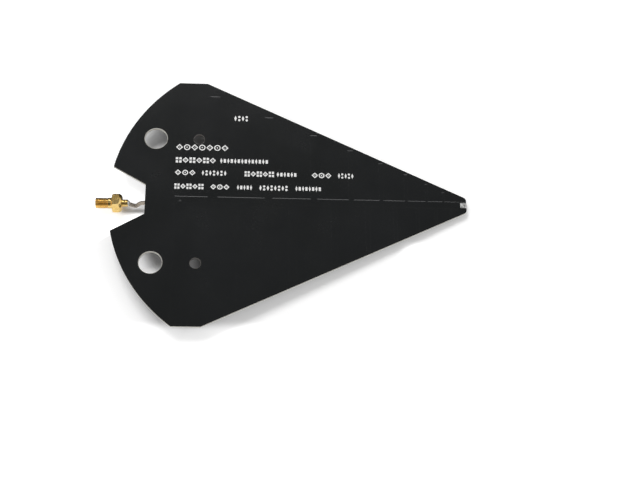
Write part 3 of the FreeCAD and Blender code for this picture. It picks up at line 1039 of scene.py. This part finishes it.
def table_material():
    """Pale table that keeps the antenna's shadow and shows white where nothing shades it."""
    painted_shade_under_board = (0.5, 0.5, 0.5)
    painted_dark_reflection = (0.1, 0.1, 0.1)

    shader = Shader("table")
    place = shader.parts_of(shader.place())
    x = shader.math("DIVIDE", place["X"], MM)
    y = shader.math("DIVIDE", place["Y"], MM)
    outside, to_arc = outside_board(shader, x, y)
    seen, glossy = shader.kinds_of_ray()

    pale = shader.ramp(shader.noise(60.0, 3.0), [(0.3, 0.9), (0.7, 0.92)])
    # Painted shade: the table's colour is darker well under the board
    pale = shader.mix(shader.eased(outside, -36.0, -24.0), painted_shade_under_board, pale)
    # Painted reflection: to glossy rays the table is darker on the far side of the boom, so gold mirrors
    # a darker table there
    beyond = shader.times(glossy, shader.eased(y, 0.0, 4.0))
    shader.feed("Base Color", shader.mix(beyond, pale, painted_dark_reflection))
    shader.set(Roughness=0.9, Specular_IOR_Level=0.0)

    seen_or_mirrored = shader.larger(seen, shader.minus(glossy, beyond))
    glow = shader.times(seen_or_mirrored, glow_all_round(shader, x, y, outside, to_arc))
    far = shader.times(shader.eased(outside, 60.0, 260.0), FAR_GLOW)
    open_light = shader.plus(far, glow_by_place(shader, x, y, to_arc))
    glow = shader.plus(glow, shader.times(seen, open_light))
    shader.set(Emission_Color=(1.0, 1.0, 1.0, 1.0))
    shader.feed("Emission Strength", shader.larger(glow, 0.0))
    return shader.material


def make_table():
    """Wide flat table just below the two places that the antenna lies on."""
    reach = 6000.0
    gap = 0.02
    points = []
    for x, y in ((-reach, -reach), (reach, -reach), (reach, reach), (-reach, reach)):
        points.append((x, y, REST_Z - gap - (REST_X - x) * math.tan(TABLE_TILT)))
    mesh = bpy.data.meshes.new("table")
    mesh.from_pydata([Vector(p) * MM for p in points], [], [(0, 1, 2, 3)])
    mesh.materials.append(table_material())
    table = bpy.data.objects.new("table", mesh)
    bpy.context.scene.collection.objects.link(table)


def make_world():
    """Soft studio, white to the camera. Mirrors see a room of their own, dim overhead."""
    # How bright a mirror finds the room, from behind the camera at nought to beyond the board at one
    room = [
        (0.0, 0.7),
        (0.05, 0.17),
        (0.2, 0.05),
        (0.3, 0.07),
        (0.39, 0.44),
        (0.5, 0.44),
        (0.66, 0.2),
        (1.0, 0.16),
    ]
    world = bpy.data.worlds.new("studio")
    world.use_nodes = True
    sky = Nodes(world.node_tree)
    way = sky.parts_of(sky.add("TexCoord").outputs["Generated"])
    diffused = sky.ramp(way["Z"], [(0.0, 0.98), (0.45, 0.8), (0.78, 0.28), (1.0, 0.24)])
    overhead = sky.ramp(sky.math("MULTIPLY_ADD", way["Y"], 0.5, 0.5), room)
    sides = sky.ramp(sky.absolute(way["X"]), [(0.4, 0.0), (0.8, 0.6)])
    seen, glossy = sky.kinds_of_ray()
    colour = sky.mix(glossy, diffused, sky.plus(overhead, sides))
    white = (1.0, 1.0, 1.0)
    sky.link(sky.mix(seen, colour, white), world.node_tree.nodes["Background"], "Color")
    bpy.context.scene.world = world


# Lamps, in metres and watts
LAMP_TARGET = Vector((0.05, 0.0, 0.0))
LAMP_DISTANCE = 1.5


def add_softbox(name, azimuth, elevation, size, power):
    """Area lamp that looks at the middle of the board. Azimuth turns from +X towards +Y."""
    data = bpy.data.lights.new(name, "AREA")
    data.shape = "RECTANGLE"
    data.size, data.size_y = size
    data.energy = power
    turn = math.radians(azimuth)
    rise = math.radians(elevation)
    level = math.cos(rise)
    way = Vector((math.cos(turn) * level, math.sin(turn) * level, math.sin(rise)))
    lamp = bpy.data.objects.new(name, data)
    lamp.location = LAMP_TARGET + way * LAMP_DISTANCE
    lamp.rotation_mode = "QUATERNION"
    lamp.rotation_quaternion = way.to_track_quat("Z", "Y")
    bpy.context.scene.collection.objects.link(lamp)
    return lamp


def light_only(lamp, group_name, pieces):
    """Lets a lamp light no other pieces than these."""
    group = bpy.data.collections.new(group_name)
    for piece in pieces:
        group.objects.link(piece)
    lamp.light_linking.receiver_collection = group


def add_lamps():
    """Key light, a glint along the arms' shoulders on the mask, and a sheen on gold and solder."""
    key = add_softbox("key", 122.0, 55.0, (0.8, 0.6), 12.4)
    key.visible_glossy = False
    glint = add_softbox("glint", 95.0, 37.0, (1.0, 0.5), 9.0)
    masked = [bpy.data.objects[name] for name in ("top_array", "bottom_array", "link_heads")]
    light_only(glint, "masked_faces", [*masked, NODES["circuit_board"]])
    sheen = add_softbox("sheen", 98.0, 50.0, (1.0, 0.14), 3.4)
    bright = [bpy.data.objects[name] for name in ("jack_body_turned", "tip_solder_pad")]
    light_only(sheen, "bright_metal", bright)


def give(node, material):
    """Puts a material on a carried over solid."""
    solid = NODES[node]
    if not solid.material_slots:
        solid.data.materials.append(material)
    for slot in solid.material_slots:
        slot.link = "OBJECT"
        slot.material = material


def make_antenna():
    """Materials on the solids that stay, and the pieces that replace the others."""
    masked_copper = masked_copper_material()
    solder = solder_material()
    gold = gold_material("gold_plate", (0.94, 0.68, 0.27), (0.82, 0.54, 0.17), 3200.0)
    contact_gold = gold_material("gold_contact", (1.0, 0.77, 0.38), (0.9, 0.62, 0.26), 4200.0)
    white = dielectric_material()

    give("circuit_board", board_material())
    give("jack_insulator", white)
    give("jack_contact", contact_gold)
    give("jack_solder_joint", solder)

    make_array("top_array", "top_copper", -1, TOP_ARRAY_END_X, BOARD_TOP, 1, masked_copper)
    make_array("bottom_array", "bottom_copper", 1, BOTTOM_ARRAY_END_X, 0.0, -1, masked_copper)
    make_print(print_material())
    make_tip_solder(solder)
    make_boom_saddles(solder)
    make_link_heads(masked_copper)
    make_cable(braid_material(), white, silver_wire_material())
    make_jack_body(gold)


add_camera()
make_antenna()
make_table()
make_world()
add_lamps()

scene = bpy.context.scene
scene.view_settings.view_transform = "Standard"
